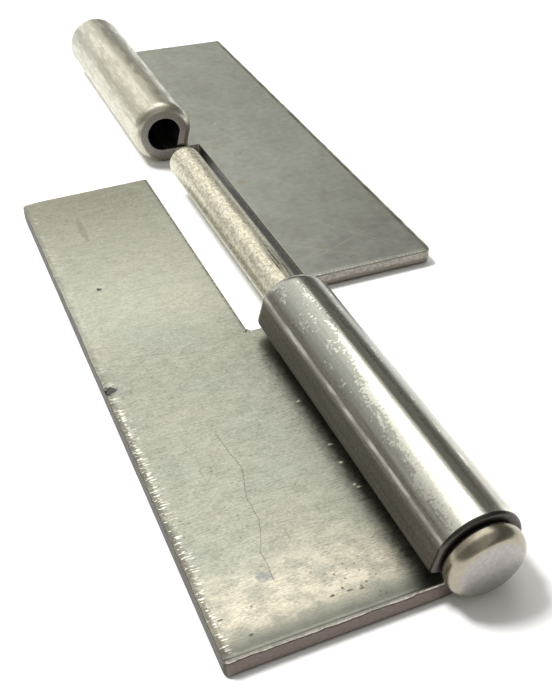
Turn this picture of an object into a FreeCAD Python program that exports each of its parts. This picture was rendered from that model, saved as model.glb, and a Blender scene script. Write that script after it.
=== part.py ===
import FreeCAD, Part
import math
import os

import Sketcher
from FreeCAD import Placement, Rotation, Vector

# Lift off hinge in bare steel: two like leaves, each with its own rolled knuckle, and a headed pin.
# The near leaf carries the pin; the far leaf slides off it along +Y and is shown lifted clear.
# The pin's axis runs along Y over x = 0, and both leaves lie on the plane z = 0.

# Driving dimensions, in millimetres and degrees
SIZES = {
    "sheet_thickness": 3.2,       # both leaves are cut from this sheet
    "pin_diameter": 7.4,
    "pin_clearance": 0.1,         # between the pin and the flat that ends each roll
    "roll_ease": 0.2,             # the round of a roll stands off this much further than its flat
    "leaf_length": 125.0,         # along the pin
    "leaf_reach": 37.5,           # pin axis to the leaf's outer edge
    "notch_clearance": 1.5,       # from a knuckle's round to the other leaf's notch
    "seat_gap": 0.2,              # between the two knuckles when the far leaf is seated
    "near_roll_lean": 12.0,       # the flat last stretch of a roll: positive leans out, negative in
    "far_roll_lean": -12.0,
    "near_roll_end_gap": 1.8,     # from a roll's cut end down to its leaf
    "far_roll_end_gap": 0.7,
    "crease_radius": 2.0,         # eases the crease where a roll's round meets its flat
    "corner_radius": 0.7,         # outer corners of the blank
    "notch_radius": 1.0,          # inner corner of the blank
    "die_roll": 0.6,              # edge rounding that blanking leaves on the outer face
    "tip_inset": 2.6,             # pin tip short of the seated far knuckle's end
    "tip_chamfer": 1.2,
    "tip_rounding": 0.8,
    "head_diameter": 12.6,
    "head_thickness": 3.3,
    "head_rounding": 1.9,         # round the head's outer face
    "head_back_rounding": 0.8,
    "head_gap": 0.1,              # between the head and the knuckle's end
    "tip_to_mouth": 14.2,         # free gap from the pin's tip to the lifted leaf's knuckle
}
SHEET_NAME = "Sizes"

# Sizes that follow from the driving dimensions
PIN_RADIUS = "(Sizes.pin_diameter / 2)"
HEAD_RADIUS = "(Sizes.head_diameter / 2)"
FLAT_STANDOFF = f"({PIN_RADIUS} + Sizes.pin_clearance)"
BORE_RADIUS = f"({FLAT_STANDOFF} + Sizes.roll_ease)"
KNUCKLE_RADIUS = f"({BORE_RADIUS} + Sizes.sheet_thickness)"
KNUCKLE_LENGTH = "((Sizes.leaf_length - Sizes.seat_gap) / 2)"
NOTCH_REACH = f"({KNUCKLE_RADIUS} + Sizes.notch_clearance)"
NOTCH_OVERRUN = f"({KNUCKLE_RADIUS} + Sizes.sheet_thickness)"    # past the knuckle, in the open
PIN_TIP = "(Sizes.leaf_length - Sizes.tip_inset)"
HEAD_FACE = "(Sizes.head_gap + Sizes.head_thickness)"
LIFT_OFF = f"({PIN_TIP} + Sizes.tip_to_mouth - {KNUCKLE_LENGTH} - Sizes.seat_gap)"
NEAR_EDGE_Y = f"(({HEAD_FACE} - Sizes.leaf_length - {LIFT_OFF}) / 2)"
FAR_EDGE_Y = f"({NEAR_EDGE_Y} + Sizes.leaf_length + {LIFT_OFF})"

# Names for the numbers that a sketch gives its axes, and the points of a line or an arc
X_AXIS, Y_AXIS = range(-1, -3, -1)
START, END, CENTRE = range(1, 4)
ORIGIN = X_AXIS    # the start of the horizontal axis is the origin
TOLERANCE = 1e-4
UNCUT_SHARE = 0.9    # a notch that leaves more of the roll than this has missed it

doc = FreeCAD.newDocument("LiftOffHinge")


def make_sheet():
    """Write each driving dimension into a cell of its own, under its name."""
    sheet = doc.addObject("Spreadsheet::Sheet", SHEET_NAME)
    for row, (name, size) in enumerate(SIZES.items(), start=1):
        sheet.set(f"A{row}", name)
        sheet.set(f"B{row}", str(size))
        sheet.setAlias(f"B{row}", name)
    doc.recompute()
    return sheet


def size(expression):
    """Current number of an expression of the sheet's cells."""
    return float(sheet.evalExpression(expression))


def origin_plane(body, role):
    """One of the body's own origin planes."""
    return next(plane for plane in body.Origin.OriginFeatures if plane.Role == role)


def new_sketch(body, name, role):
    """Empty sketch on one of the body's origin planes."""
    sketch = body.newObject("Sketcher::SketchObject", name)
    sketch.AttachmentSupport = [(origin_plane(body, role), "")]
    sketch.MapMode = "FlatFace"
    return sketch


def bind(sketch, constraint, expression):
    """Add a dimension and tie it to the sheet."""
    index = sketch.addConstraint(constraint)
    sketch.setExpression(f"Constraints[{index}]", expression)


def add_lines(sketch, points):
    """Closed run of lines through the points, joined end to end; gives their indices."""
    lines = []
    for start, end in zip(points, points[1:] + points[:1]):
        lines.append(sketch.addGeometry(Part.LineSegment(start, end)))
    for line, following in zip(lines, lines[1:] + lines[:1]):
        sketch.addConstraint(Sketcher.Constraint("Coincident", line, END, following, START))
    return lines


def draw_rolled_section(body, roll_name):
    """Section across the pin: the flat leaf, its roll, and the flat last stretch of the roll."""
    lean_name = f"Sizes.{roll_name}_lean"
    gap_name = f"Sizes.{roll_name}_end_gap"
    sketch = new_sketch(body, "RolledSection", "XZ_Plane")
    sheet_thickness = size("Sizes.sheet_thickness")
    reach = size("Sizes.leaf_reach")
    inner = size(BORE_RADIUS)
    outer = size(KNUCKLE_RADIUS)
    standoff = size(FLAT_STANDOFF)
    gap = size(gap_name)
    lean = math.radians(size(lean_name))
    outer_end = math.pi - lean - math.acos((standoff + sheet_thickness) / outer)
    inner_end = math.pi - lean - math.acos(standoff / inner)
    centre = Vector(0, outer, 0)
    down = Vector(-math.sin(lean), -math.cos(lean), 0)
    inward = Vector(math.cos(lean), -math.sin(lean), 0)
    drop = (outer + standoff * math.sin(lean) - sheet_thickness - gap) / math.cos(lean)
    inner_corner = centre - inward * standoff + down * drop
    outer_corner = inner_corner - inward * sheet_thickness
    outer_turn = centre + Vector(math.cos(outer_end), math.sin(outer_end), 0) * outer
    inner_turn = centre + Vector(math.cos(inner_end), math.sin(inner_end), 0) * inner
    back_edge = Vector(-reach, 0, 0)
    front_edge = Vector(-reach, sheet_thickness, 0)
    across = Vector(0, 0, 1)

    back = sketch.addGeometry(Part.LineSegment(back_edge, Vector(0, 0, 0)))
    outer_circle = Part.Circle(centre, across, outer)
    outer_arc = sketch.addGeometry(Part.ArcOfCircle(outer_circle, -math.pi / 2, outer_end))
    outer_flat = sketch.addGeometry(Part.LineSegment(outer_turn, outer_corner))
    cut_end = sketch.addGeometry(Part.LineSegment(outer_corner, inner_corner))
    inner_flat = sketch.addGeometry(Part.LineSegment(inner_corner, inner_turn))
    inner_circle = Part.Circle(centre, across, inner)
    inner_arc = sketch.addGeometry(Part.ArcOfCircle(inner_circle, -math.pi / 2, inner_end))
    front = sketch.addGeometry(Part.LineSegment(Vector(0, sheet_thickness, 0), front_edge))
    edge = sketch.addGeometry(Part.LineSegment(front_edge, back_edge))

    sketch.addConstraint([
        Sketcher.Constraint("Tangent", back, END, outer_arc, START),
        Sketcher.Constraint("Coincident", outer_arc, END, outer_flat, START),
        Sketcher.Constraint("Coincident", outer_flat, END, cut_end, START),
        Sketcher.Constraint("Perpendicular", outer_flat, cut_end),
        Sketcher.Constraint("Coincident", cut_end, END, inner_flat, START),
        Sketcher.Constraint("Perpendicular", cut_end, inner_flat),
        Sketcher.Constraint("Coincident", inner_flat, END, inner_arc, END),
        Sketcher.Constraint("Tangent", inner_arc, START, front, START),
        Sketcher.Constraint("Coincident", front, END, edge, START),
        Sketcher.Constraint("Coincident", edge, END, back, START),
        Sketcher.Constraint("Coincident", outer_arc, CENTRE, inner_arc, CENTRE),
        Sketcher.Constraint("PointOnObject", outer_arc, CENTRE, Y_AXIS),
        Sketcher.Constraint("PointOnObject", back, START, X_AXIS),
        Sketcher.Constraint("PointOnObject", back, END, X_AXIS),
        Sketcher.Constraint("Horizontal", front),
        Sketcher.Constraint("Vertical", edge),
    ])
    bind(sketch, Sketcher.Constraint("Radius", inner_arc, inner), BORE_RADIUS)
    bind(sketch, Sketcher.Constraint("Distance", inner_arc, CENTRE, inner_flat, standoff), FLAT_STANDOFF)
    bind(sketch, Sketcher.Constraint("Distance", edge, sheet_thickness), "Sizes.sheet_thickness")
    bind(sketch, Sketcher.Constraint("Distance", cut_end, sheet_thickness), "Sizes.sheet_thickness")
    bind(sketch, Sketcher.Constraint("DistanceX", back, START, ORIGIN, START, reach), "Sizes.leaf_reach")
    bind(sketch, Sketcher.Constraint("DistanceY", front, START, cut_end, END, gap), gap_name)
    bind(sketch, Sketcher.Constraint("Angle", Y_AXIS, START, outer_flat, START, math.pi - lean),
         f"180 deg - {lean_name} * 1 deg")
    return sketch, outer_flat


def draw_notch(body):
    """Outline of the strip cut away beside the knuckle, where the other leaf's knuckle lies."""
    sketch = new_sketch(body, "NotchOutline", "XY_Plane")
    left = size(NOTCH_REACH)
    right = size(NOTCH_OVERRUN)
    near = size(KNUCKLE_LENGTH)
    far = size("Sizes.leaf_length")
    corners = [Vector(-left, near, 0), Vector(right, near, 0), Vector(right, far, 0), Vector(-left, far, 0)]
    bottom, side, top, root = add_lines(sketch, corners)
    for line in (bottom, top):
        sketch.addConstraint(Sketcher.Constraint("Horizontal", line))
    for line in (side, root):
        sketch.addConstraint(Sketcher.Constraint("Vertical", line))
    bind(sketch, Sketcher.Constraint("DistanceX", bottom, START, ORIGIN, START, left), NOTCH_REACH)
    bind(sketch, Sketcher.Constraint("DistanceX", ORIGIN, START, bottom, END, right), NOTCH_OVERRUN)
    bind(sketch, Sketcher.Constraint("DistanceY", ORIGIN, START, bottom, START, near), KNUCKLE_LENGTH)
    bind(sketch, Sketcher.Constraint("DistanceY", ORIGIN, START, top, START, far), "Sizes.leaf_length")
    return sketch


def edges_where(feature, wanted):
    """Names of the feature's edges that the test accepts."""
    return [f"Edge{number}" for number, edge in enumerate(feature.Shape.Edges, start=1) if wanted(edge)]


def round_edges(body, name, base, edge_names, radius):
    """Fillet on the named edges of the base feature."""
    fillet = body.newObject("PartDesign::Fillet", name)
    fillet.Base = (base, edge_names)
    fillet.setExpression("Radius", radius)
    doc.recompute()
    return fillet


def stands_at(edge, x, y):
    """True for an upright edge over the point x, y."""
    return all(math.hypot(v.X - x, v.Y - y) < TOLERANCE for v in edge.Vertexes)


def runs_along(edge, x, z):
    """True for an edge along the pin through the point x, z of the section."""
    return all(math.hypot(v.X - x, v.Z - z) < TOLERANCE for v in edge.Vertexes)


def rings(edge, y, radius):
    """True for a circle of this radius round the pin's axis at y."""
    if not isinstance(edge.Curve, Part.Circle):
        return False
    return abs(edge.Curve.Center.y - y) < TOLERANCE and abs(edge.Curve.Radius - radius) < TOLERANCE


def make_leaf(label, roll_name):
    """One leaf: the rolled section drawn out to its length, notched, and rounded as blanking leaves it."""
    body = doc.addObject("PartDesign::Body", label)
    body.Label = label
    section, outer_flat = draw_rolled_section(body, roll_name)
    roll = body.newObject("PartDesign::Pad", "Roll")
    roll.Profile = section
    roll.setExpression("Length", "Sizes.leaf_length")
    roll.Reversed = True
    doc.recompute()

    notch = body.newObject("PartDesign::Pocket", "Notch")
    notch.Profile = draw_notch(body)
    notch.Type = "ThroughAll"
    notch.Reversed = True
    doc.recompute()
    if notch.Shape.Volume > UNCUT_SHARE * roll.Shape.Volume:
        raise RuntimeError("the notch cuts nothing")

    reach = size("Sizes.leaf_reach")
    notch_reach = size(NOTCH_REACH)
    length = size("Sizes.leaf_length")
    knuckle_length = size(KNUCKLE_LENGTH)
    outer_corners = [(-reach, 0), (-reach, length), (-notch_reach, length)]
    corner_names = edges_where(notch, lambda edge: any(stands_at(edge, x, y) for x, y in outer_corners))
    corners = round_edges(body, "BlankCorners", notch, corner_names, "Sizes.corner_radius")
    root_names = edges_where(corners, lambda edge: stands_at(edge, -notch_reach, knuckle_length))
    root = round_edges(body, "NotchRoot", corners, root_names, "Sizes.notch_radius")

    crease_line = section.Geometry[outer_flat].StartPoint
    crease_names = edges_where(root, lambda edge: runs_along(edge, crease_line.x, crease_line.y))
    crease = round_edges(body, "Crease", root, crease_names, "Sizes.crease_radius")

    def on_back_outline(edge):
        flat_on_back = all(abs(v.Z) < TOLERANCE for v in edge.Vertexes)
        return flat_on_back and any(v.X < -TOLERANCE for v in edge.Vertexes)

    outline_names = edges_where(crease, on_back_outline)
    round_edges(body, "DieRoll", crease, outline_names, "Sizes.die_roll")
    return body


def draw_pin_section(body):
    """Half section of the pin along its axis: button head, shank and chamfered tip."""
    sketch = new_sketch(body, "PinSection", "YZ_Plane")
    face = size(HEAD_FACE)
    head_back = size("Sizes.head_gap")
    head_radius = size(HEAD_RADIUS)
    radius = size(PIN_RADIUS)
    tip = size(PIN_TIP)
    chamfer = size("Sizes.tip_chamfer")
    corners = [
        Vector(-face, 0, 0),
        Vector(-face, head_radius, 0),
        Vector(-head_back, head_radius, 0),
        Vector(-head_back, radius, 0),
        Vector(tip - chamfer, radius, 0),
        Vector(tip, radius - chamfer, 0),
        Vector(tip, 0, 0),
    ]
    head_face, rim, shoulder, shank, bevel, tip_face, axis = add_lines(sketch, corners)
    for line in (head_face, shoulder, tip_face):
        sketch.addConstraint(Sketcher.Constraint("Vertical", line))
    for line in (rim, shank):
        sketch.addConstraint(Sketcher.Constraint("Horizontal", line))
    sketch.addConstraint(Sketcher.Constraint("PointOnObject", axis, START, X_AXIS))
    sketch.addConstraint(Sketcher.Constraint("PointOnObject", axis, END, X_AXIS))
    bind(sketch, Sketcher.Constraint("DistanceX", head_face, START, ORIGIN, START, face), HEAD_FACE)
    shoulder_back = Sketcher.Constraint("DistanceX", shoulder, START, ORIGIN, START, head_back)
    bind(sketch, shoulder_back, "Sizes.head_gap")
    bind(sketch, Sketcher.Constraint("DistanceY", ORIGIN, START, rim, START, head_radius), HEAD_RADIUS)
    bind(sketch, Sketcher.Constraint("DistanceY", ORIGIN, START, shank, START, radius), PIN_RADIUS)
    bind(sketch, Sketcher.Constraint("DistanceX", ORIGIN, START, tip_face, START, tip), PIN_TIP)
    bind(sketch, Sketcher.Constraint("DistanceX", bevel, START, bevel, END, chamfer), "Sizes.tip_chamfer")
    bind(sketch, Sketcher.Constraint("DistanceY", bevel, END, bevel, START, chamfer), "Sizes.tip_chamfer")
    return sketch


def make_pin(label):
    """Headed pin, turned about its own axis, with a rounded button head and an eased tip."""
    body = doc.addObject("PartDesign::Body", label)
    body.Label = label
    turned = body.newObject("PartDesign::Revolution", "Turned")
    turned.Profile = draw_pin_section(body)
    turned.ReferenceAxis = (turned.Profile[0], ["H_Axis"])
    turned.Angle = 360.0
    doc.recompute()

    head_radius = size(HEAD_RADIUS)
    radius = size(PIN_RADIUS)

    face_y = -size(HEAD_FACE)
    front_names = edges_where(turned, lambda edge: rings(edge, face_y, head_radius))
    front = round_edges(body, "HeadRounding", turned, front_names, "Sizes.head_rounding")
    shoulder_y = -size("Sizes.head_gap")
    back_names = edges_where(front, lambda edge: rings(edge, shoulder_y, head_radius))
    back = round_edges(body, "HeadBackRounding", front, back_names, "Sizes.head_back_rounding")
    bevel_y = size(PIN_TIP) - size("Sizes.tip_chamfer")
    tip_names = edges_where(back, lambda edge: rings(edge, bevel_y, radius))
    round_edges(body, "TipRounding", back, tip_names, "Sizes.tip_rounding")
    return body


def place(body, turn, height, along):
    """Stand a sub-part in the hinge, turned about the upright."""
    body.Placement = Placement(Vector(0, 0, 0), Rotation(Vector(0, 0, 1), turn))
    if height:
        body.setExpression("Placement.Base.z", height)
    body.setExpression("Placement.Base.y", along)


def check_document(subparts):
    """Stop if any object failed, or a sub-part isn't one valid solid."""
    for item in doc.Objects:
        if "Invalid" in item.State or "Error" in item.State:
            raise RuntimeError(f"{item.Label} failed: {item.State}")
    for body in subparts:
        shape = body.Shape
        if shape.isNull() or not shape.isValid() or len(shape.Solids) != 1:
            raise RuntimeError(f"{body.Label} isn't one valid solid")


def write_parts(subparts):
    """Write each sub-part to the file that its label names."""
    os.makedirs("parts", exist_ok=True)
    for body in subparts:
        body.Shape.exportStep(f"parts/{body.Label}.step")


sheet = make_sheet()
near_leaf = make_leaf("near_leaf", "near_roll")
pin = make_pin("pin")
far_leaf = make_leaf("far_leaf", "far_roll")
place(near_leaf, 0, None, NEAR_EDGE_Y)
place(pin, 0, KNUCKLE_RADIUS, NEAR_EDGE_Y)
place(far_leaf, 180, None, FAR_EDGE_Y)
doc.recompute()

SUBPARTS = [near_leaf, pin, far_leaf]
check_document(SUBPARTS)
write_parts(SUBPARTS)
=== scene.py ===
import math

import bpy
import numpy as np
from mathutils import Matrix, Vector, noise


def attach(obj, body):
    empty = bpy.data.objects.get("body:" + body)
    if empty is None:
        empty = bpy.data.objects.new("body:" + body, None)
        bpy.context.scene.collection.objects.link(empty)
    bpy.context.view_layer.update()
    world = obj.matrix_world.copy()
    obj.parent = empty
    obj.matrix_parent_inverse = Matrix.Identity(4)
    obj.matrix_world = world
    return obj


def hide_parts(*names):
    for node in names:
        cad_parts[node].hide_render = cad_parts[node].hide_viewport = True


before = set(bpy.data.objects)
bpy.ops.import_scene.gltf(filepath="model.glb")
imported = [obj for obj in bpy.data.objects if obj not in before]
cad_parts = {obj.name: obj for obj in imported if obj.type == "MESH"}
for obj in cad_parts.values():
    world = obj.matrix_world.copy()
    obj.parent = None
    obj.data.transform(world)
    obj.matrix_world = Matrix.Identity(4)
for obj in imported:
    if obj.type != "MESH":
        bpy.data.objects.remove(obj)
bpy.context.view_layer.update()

# Near leaf: a blank of 3.2 mm mild steel sheet, sheared and notched, its near half rolled round the pin.
# Rolling ends in a flat stretch that leans out and stops short of the leaf, so a dark slot is left under it.
# Shearing rounds the near edge over, leaves burrs on the others, and the bare face is streaked and nicked.
MM = 0.001
SHEET = 3.2
LEAF_REACH = 37.5
LEAF_LENGTH = 125.0
KNUCKLE_LENGTH = 62.4
NOTCH_AT = 28.8
BORE = 4.0
KNUCKLE = BORE + SHEET
FLAT_STANDOFF = 3.8
AXIS_HEIGHT = KNUCKLE
BURR = 0.12
DIE_ROLL = 0.6
CORNER_RADIUS = 0.7
NEAR_EDGE_Y = -97.8
NEAR_LEAN = 12.0
NEAR_END_GAP = 1.8
END_ROUNDING = 2.4
END_ROUNDING_STOP = 0.95
END_FADE = 6.0
END_TUCK = 0.75
ROLL_STEPS = 72
FLAT_STEPS = 6
INSET_REACH = 2.2
SMALLEST_RADIUS = 0.05
BURR_EASE = 0.29
WALL_DEPTHS = (0.5, 0.95, 1.4, 1.8, 2.2)
DIE_ROLL_TURNS = (0, 22.5, 45, 67.5, 90)
DENT_STEEPNESS = 1.4
CORNER_SLACK = 1.001
NEARLY = 1e-6


def rolled_section(lean_degrees, end_gap):
    """Upper and outer face of the rolled sheet, as points over the distance from the leaf's outer edge."""
    lean = math.radians(lean_degrees)
    inward = np.array([math.cos(lean), -math.sin(lean)])
    down = np.array([-math.sin(lean), -math.cos(lean)])
    axis = np.array([0.0, AXIS_HEIGHT])
    drop = (KNUCKLE + FLAT_STANDOFF * math.sin(lean) - SHEET - end_gap) / math.cos(lean)
    inner_corner = axis - inward * FLAT_STANDOFF + down * drop
    outer_corner = inner_corner - inward * SHEET
    inner_end = math.pi - lean - math.acos(FLAT_STANDOFF / BORE)
    outer_end = math.pi - lean - math.acos((FLAT_STANDOFF + SHEET) / KNUCKLE)
    inner_turn = axis + BORE * np.array([math.cos(inner_end), math.sin(inner_end)])
    outer_turn = axis + KNUCKLE * np.array([math.cos(outer_end), math.sin(outer_end)])
    distance = [0.0, LEAF_REACH]
    front = [(-LEAF_REACH, SHEET), (0.0, SHEET)]
    back = [(-LEAF_REACH, 0.0), (0.0, 0.0)]
    for step in range(1, ROLL_STEPS + 1):
        inner = -math.pi / 2 + (inner_end + math.pi / 2) * step / ROLL_STEPS
        outer = -math.pi / 2 + (outer_end + math.pi / 2) * step / ROLL_STEPS
        distance.append(LEAF_REACH + (BORE + KNUCKLE) / 2 * (inner + outer + math.pi) / 2)
        front.append(axis + BORE * np.array([math.cos(inner), math.sin(inner)]))
        back.append(axis + KNUCKLE * np.array([math.cos(outer), math.sin(outer)]))
    turned = distance[-1]
    flat = (np.linalg.norm(inner_corner - inner_turn) + np.linalg.norm(outer_corner - outer_turn)) / 2
    for step in range(1, FLAT_STEPS + 1):
        share = step / FLAT_STEPS
        distance.append(turned + flat * share)
        front.append(inner_turn + (inner_corner - inner_turn) * share)
        back.append(outer_turn + (outer_corner - outer_turn) * share)
    return np.array(distance), np.array(front, float), np.array(back, float)


def spaced(start, end, fine, coarse, growth=1.35):
    """Stations from start to end, close together at both ends and wider between."""
    half, gap, here = [0.0], fine, 0.0
    while here + gap < (end - start) / 2:
        here += gap
        half.append(here)
        gap = min(gap * growth, coarse)
    half = np.array(half)
    return np.concatenate([start + half, (end - half)[::-1]])


def leaf_mesh(lean_degrees, end_gap):
    """One leaf as a closed mesh, drawn as flat sheet first and then rolled.

    Gives its points, their places on the flat sheet (distance from the outer edge, distance from the knuckle
    end, depth below the upper face), its faces and the kind of each face: 0 leaf, 1 roll, 2 cut edge.
    """
    distance, front, back = rolled_section(lean_degrees, end_gap)
    end = distance[-1]
    columns = np.concatenate([
        spaced(0.0, NOTCH_AT, fine=0.2, coarse=0.6),
        spaced(NOTCH_AT, LEAF_REACH, fine=0.3, coarse=0.8)[1:],
        distance[2:-FLAT_STEPS],
        spaced(distance[-1 - FLAT_STEPS], end, fine=0.2, coarse=0.9)[1:],
    ])
    rows = np.concatenate([
        spaced(0.0, KNUCKLE_LENGTH, fine=0.2, coarse=0.5),
        spaced(KNUCKLE_LENGTH, LEAF_LENGTH, fine=0.2, coarse=0.5)[1:],
    ])
    notch_i = int(np.argmin(abs(columns - NOTCH_AT)))
    notch_j = int(np.argmin(abs(rows - KNUCKLE_LENGTH)))
    last_i, last_j = len(columns) - 1, len(rows) - 1

    def near_edge(gap):
        """Share of the inset that a point takes, by its gap to an edge."""
        return np.clip(1 - gap / INSET_REACH, 0, None)

    def inset_sheet(inset):
        """Places of all grid points on the flat sheet when its outline is drawn in by inset."""
        s, y = np.meshgrid(columns, rows, indexing="ij")
        beside = s <= NOTCH_AT + NEARLY
        below = y <= KNUCKLE_LENGTH + NEARLY
        past_root_y = np.clip((y - KNUCKLE_LENGTH) / INSET_REACH + 1, 0, 1)
        past_root_s = np.clip((s - NOTCH_AT) / INSET_REACH + 1, 0, 1)
        ds = near_edge(s) - near_edge(end - s)
        ds -= np.where(beside, near_edge(NOTCH_AT - s) * past_root_y, 0)
        ds -= np.where(~beside & below, near_edge(s - NOTCH_AT) * past_root_y, 0)
        dy = near_edge(y) - near_edge(LEAF_LENGTH - y)
        dy -= np.where(below, near_edge(KNUCKLE_LENGTH - y) * past_root_s, 0)
        dy -= np.where(~below & beside, near_edge(y - KNUCKLE_LENGTH) * past_root_s, 0)
        s, y = s + inset * ds, y + inset * dy
        radius = max(CORNER_RADIUS - inset, SMALLEST_RADIUS)
        corners = (
            (inset, inset, 1, 1),
            (inset, LEAF_LENGTH - inset, 1, -1),
            (NOTCH_AT - inset, LEAF_LENGTH - inset, -1, -1),
            (end - inset, inset, -1, 1),
            (end - inset, KNUCKLE_LENGTH - inset, -1, -1),
        )
        for corner_s, corner_y, way_s, way_y in corners:
            u = 1 - (s - corner_s) * way_s / radius
            v = 1 - (y - corner_y) * way_y / radius
            inside = (u > 0) & (v > 0) & (u <= CORNER_SLACK) & (v <= CORNER_SLACK)
            round_u = u * np.sqrt(np.clip(1 - v * v / 2, 0, None))
            round_v = v * np.sqrt(np.clip(1 - u * u / 2, 0, None))
            s = np.where(inside, corner_s + way_s * (1 - round_u) * radius, s)
            y = np.where(inside, corner_y + way_y * (1 - round_v) * radius, y)
        return s, y

    def rolled(s, y, depth):
        """Points at a depth in millimetres below the upper face, and their places on the flat sheet."""
        top = np.stack([np.interp(s, distance, front[:, k]) for k in (0, 1)], -1)
        under = np.stack([np.interp(s, distance, back[:, k]) for k in (0, 1)], -1)
        across = top + (under - top) * depth / SHEET
        flat_sheet = np.stack([s, y, np.full(len(s), depth)], -1)
        return np.stack([across[:, 0], y, across[:, 1]], -1), flat_sheet

    used = np.ones((len(columns), len(rows)), bool)
    used[notch_i + 1:, notch_j + 1:] = False
    border = [(i, 0) for i in range(0, last_i)]
    border += [(last_i, j) for j in range(0, notch_j)]
    border += [(i, notch_j) for i in range(last_i, notch_i, -1)]
    border += [(notch_i, j) for j in range(notch_j, last_j)]
    border += [(i, last_j) for i in range(notch_i, 0, -1)]
    border += [(0, j) for j in range(last_j, 0, -1)]
    border = tuple(np.array(border).T)

    levels = [(BURR, 0.0), (BURR * BURR_EASE, BURR * BURR_EASE), (0.0, BURR)]
    levels += [(0.0, depth) for depth in WALL_DEPTHS]
    for turn in np.radians(DIE_ROLL_TURNS):
        levels.append((DIE_ROLL * (1 - math.cos(turn)), SHEET - DIE_ROLL + DIE_ROLL * math.sin(turn)))
    layers = []
    for inset, depth in (levels[0], levels[-1]):
        s, y = inset_sheet(inset)
        layers.append(rolled(s[used], y[used], depth))
    for inset, depth in levels[1:-1]:
        s, y = inset_sheet(inset)
        layers.append(rolled(s[border], y[border], depth))
    points = np.concatenate([layer[0] for layer in layers])
    sheet = np.concatenate([layer[1] for layer in layers])
    from_end = np.clip(1 - (KNUCKLE_LENGTH - sheet[:, 1]) / END_ROUNDING, 0, END_ROUNDING_STOP)
    eased = END_ROUNDING * (1 - np.sqrt(1 - from_end ** 2)) * sheet[:, 2] / SHEET
    eased *= np.clip((sheet[:, 0] - LEAF_REACH) / END_FADE, 0, 1) * (sheet[:, 1] <= KNUCKLE_LENGTH + NEARLY)
    inward = np.array([0.0, AXIS_HEIGHT]) - points[:, [0, 2]]
    inward /= np.linalg.norm(inward, axis=1)[:, None]
    points[:, [0, 2]] += END_TUCK * inward * eased[:, None]

    count = int(used.sum())
    number = np.full(used.shape, -1)
    number[used] = np.arange(count)
    faces, kinds = [], []
    for i in range(last_i):
        for j in range(last_j):
            if i >= notch_i and j >= notch_j:
                continue
            quad = (number[i, j], number[i + 1, j], number[i + 1, j + 1], number[i, j + 1])
            faces += [quad, tuple(count + corner for corner in reversed(quad))]
            kinds += [1 if columns[i] >= LEAF_REACH - NEARLY else 0] * 2
    ring = len(border[0])
    rings = [number[border]]
    rings += [2 * count + level * ring + np.arange(ring) for level in range(len(levels) - 2)]
    rings.append(count + number[border])
    for upper, lower in zip(rings, rings[1:]):
        for here in range(ring):
            after = (here + 1) % ring
            faces.append((upper[here], lower[here], lower[after], upper[after]))
            kinds.append(2)
    return points, sheet, faces, kinds


def soft_noise(places, size, seed):
    """Smooth noise between -1 and 1 at places given in millimetres."""
    shift = Vector((seed * 7.3, seed * 3.1, seed * 5.7))
    return np.array([noise.noise(Vector(place) / size + shift) for place in places])


def dent(sheet, place, half_size, turn_degrees):
    """How deep each point lies in a dent, from 0 outside its oval to 1 at its floor."""
    turn = math.radians(turn_degrees)
    offset = sheet[:, :2] - np.array(place)
    along = offset[:, 0] * math.cos(turn) + offset[:, 1] * math.sin(turn)
    across = offset[:, 1] * math.cos(turn) - offset[:, 0] * math.sin(turn)
    away = np.hypot(along / half_size[0], across / half_size[1])
    return np.clip(DENT_STEEPNESS * (1 - away), 0, 1)


def finish_mesh(name, points, faces, kinds, materials, sheet):
    """Mesh object of points in millimetres, smooth, one material for each kind of face."""
    mesh = bpy.data.meshes.new(name)
    mesh.from_pydata([tuple(point * MM) for point in points], [], [tuple(map(int, face)) for face in faces])
    mesh.polygons.foreach_set("material_index", kinds)
    mesh.polygons.foreach_set("use_smooth", [True] * len(faces))
    drawn = mesh.attributes.new("sheet", "FLOAT_VECTOR", "POINT")
    drawn.data.foreach_set("vector", (sheet * MM).astype(np.float32).ravel())
    for material in materials:
        mesh.materials.append(material)
    mesh.update()
    piece = bpy.data.objects.new(name, mesh)
    bpy.context.scene.collection.objects.link(piece)
    return piece


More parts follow.
